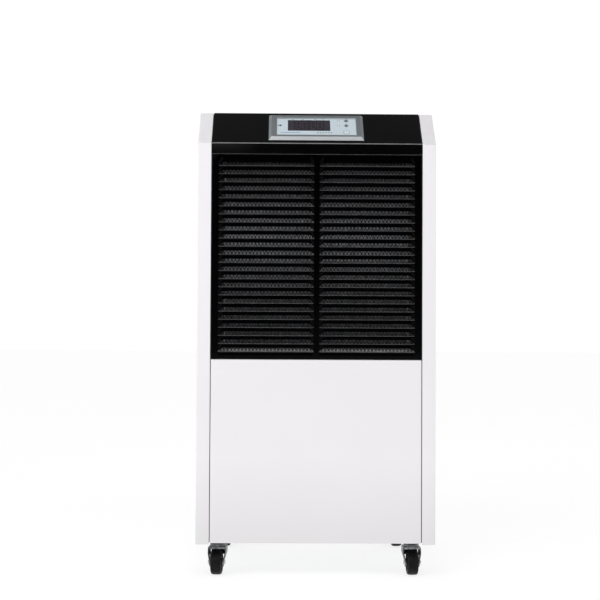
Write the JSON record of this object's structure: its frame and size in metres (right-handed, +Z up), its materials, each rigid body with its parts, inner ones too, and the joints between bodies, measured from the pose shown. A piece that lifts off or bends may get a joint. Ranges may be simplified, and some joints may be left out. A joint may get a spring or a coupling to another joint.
{
  "type": "dehumidifier",
  "caption": "Upright commercial dehumidifier: white sheet-metal cabinet, black louvred intake and sloped control panel, refrigeration parts and fan inside, on swivel casters.",
  "frame": {"origin": "on the floor, below the middle of the whole object including the drain spigot at the back", "axes": "+Z up, -Y towards the front with the intake grille, +X to the right of someone facing the front"},
  "size_m": [0.48, 0.43, 0.9462],
  "materials": {
    "white_enamel": "smooth white powder coat",
    "black_enamel": "black powder coat, satin",
    "galvanised": "galvanised sheet, dull",
    "silver_paint": "silver-painted moulding, satin",
    "pale_film": "printed film, pale blue-grey",
    "dark_window": "smoked display window",
    "board": "green circuit board",
    "dark_key": "dark keys",
    "pale_key": "whitish key",
    "black_plastic": "moulded, fine grain",
    "aluminium": "mill finish",
    "copper": "drawn copper tube",
    "steel": "zinc plated wire and bar",
    "white_plastic": "white moulding",
    "rubber": "black rubber",
    "grey_hose": "grey flexible hose",
    "zinc": "zinc plated pressing",
    "tyre": "black moulded wheel"
  },
  "bodies": {
    "cabinet": {"accumulator": "black_enamel", "base_tray": "galvanised", "cable_gland": "black_plastic", "capillary_tube": "copper", "caster_plate_front_left": "zinc", "caster_plate_front_right": "zinc", "caster_plate_rear_left": "zinc", "caster_plate_rear_right": "zinc", "compressor": "black_enamel", "compressor_foot_1": "rubber", "compressor_foot_2": "rubber", "compressor_foot_3": "rubber", "condenser_coil": "aluminium", "control_board": "board", "discharge_pipe": "copper", "display_bezel": "silver_paint", "display_faceplate": "pale_film", "display_window": "dark_window", "drain_hose": "grey_hose", "drain_spigot": "white_plastic", "drip_tray": "white_plastic", "electrical_box": "galvanised", "evaporator_coil": "aluminium", "fan_guard": "steel", "fan_motor": "black_enamel", "fan_motor_bracket": "galvanised", "fan_shroud": "galvanised", "filter_drier": "copper", "filter_frame": "black_plastic", "filter_mesh": "aluminium", "front_grille": "black_enamel", "left_hand_grip": "black_plastic", "left_side_panel": "white_enamel", "liquid_pipe": "copper", "lower_front_panel": "white_enamel", "mid_shelf": "galvanised", "rear_panel": "white_enamel", "rear_service_panel": "white_enamel", "right_hand_grip": "black_plastic", "right_side_panel": "white_enamel", "run_capacitor": "aluminium", "suction_pipe": "copper", "top_cover": "black_enamel"},
    "caster_front_left": {"caster_fork_front_left": "zinc", "caster_axle_front_left": "steel"},
    "wheel_front_left": {"caster_wheel_front_left": "tyre"},
    "caster_front_right": {"caster_fork_front_right": "zinc", "caster_axle_front_right": "steel"},
    "wheel_front_right": {"caster_wheel_front_right": "tyre"},
    "caster_rear_left": {"caster_fork_rear_left": "zinc", "caster_axle_rear_left": "steel"},
    "wheel_rear_left": {"caster_wheel_rear_left": "tyre"},
    "caster_rear_right": {"caster_fork_rear_right": "zinc", "caster_axle_rear_right": "steel"},
    "wheel_rear_right": {"caster_wheel_rear_right": "tyre"},
    "fan": {"fan_rotor": "black_plastic", "fan_shaft": "steel"},
    "up_button": {"up_button": "dark_key"},
    "down_button": {"down_button": "dark_key"},
    "power_button": {"power_button": "pale_key"}
  },
  "joints": [
    {"name": "front_left_swivel", "type": "hinge", "parent": "cabinet", "child": "caster_front_left", "pos_m": [-0.198, -0.148, 0.059], "axis": [0, 0, 1], "continuous": true},
    {"name": "front_left_roll", "type": "hinge", "parent": "caster_front_left", "child": "wheel_front_left", "pos_m": [-0.19933, -0.16695, 0.025], "axis": [0.9976, -0.0698, 0], "continuous": true},
    {"name": "front_right_swivel", "type": "hinge", "parent": "cabinet", "child": "caster_front_right", "pos_m": [0.198, -0.148, 0.059], "axis": [0, 0, 1], "continuous": true},
    {"name": "front_right_roll", "type": "hinge", "parent": "caster_front_right", "child": "wheel_front_right", "pos_m": [0.19833, -0.167, 0.025], "axis": [0.9998, 0.0175, 0], "continuous": true},
    {"name": "rear_left_swivel", "type": "hinge", "parent": "cabinet", "child": "caster_rear_left", "pos_m": [-0.198, 0.158, 0.059], "axis": [0, 0, 1], "continuous": true},
    {"name": "rear_left_roll", "type": "hinge", "parent": "caster_rear_left", "child": "wheel_rear_left", "pos_m": [-0.19634, 0.17693, 0.025], "axis": [-0.9962, 0.0872, 0], "continuous": true},
    {"name": "rear_right_swivel", "type": "hinge", "parent": "cabinet", "child": "caster_rear_right", "pos_m": [0.198, 0.158, 0.059], "axis": [0, 0, 1], "continuous": true},
    {"name": "rear_right_roll", "type": "hinge", "parent": "caster_rear_right", "child": "wheel_rear_right", "pos_m": [0.19667, 0.17695, 0.025], "axis": [-0.9976, -0.0698, 0], "continuous": true},
    {"name": "fan_spin", "type": "hinge", "parent": "cabinet", "child": "fan", "pos_m": [0, 0.162, 0.655], "axis": [0, 1, 0], "continuous": true},
    {"name": "up_button_press", "type": "slide", "parent": "cabinet", "child": "up_button", "axis": [0, 0.7071, -0.7071], "range_m": [0, 0.0008], "stiffness_N_per_m": 1500},
    {"name": "down_button_press", "type": "slide", "parent": "cabinet", "child": "down_button", "axis": [0, 0.7071, -0.7071], "range_m": [0, 0.0008], "stiffness_N_per_m": 1500},
    {"name": "power_button_press", "type": "slide", "parent": "cabinet", "child": "power_button", "axis": [0, 0.7071, -0.7071], "range_m": [0, 0.0008], "stiffness_N_per_m": 1500}
  ]
}
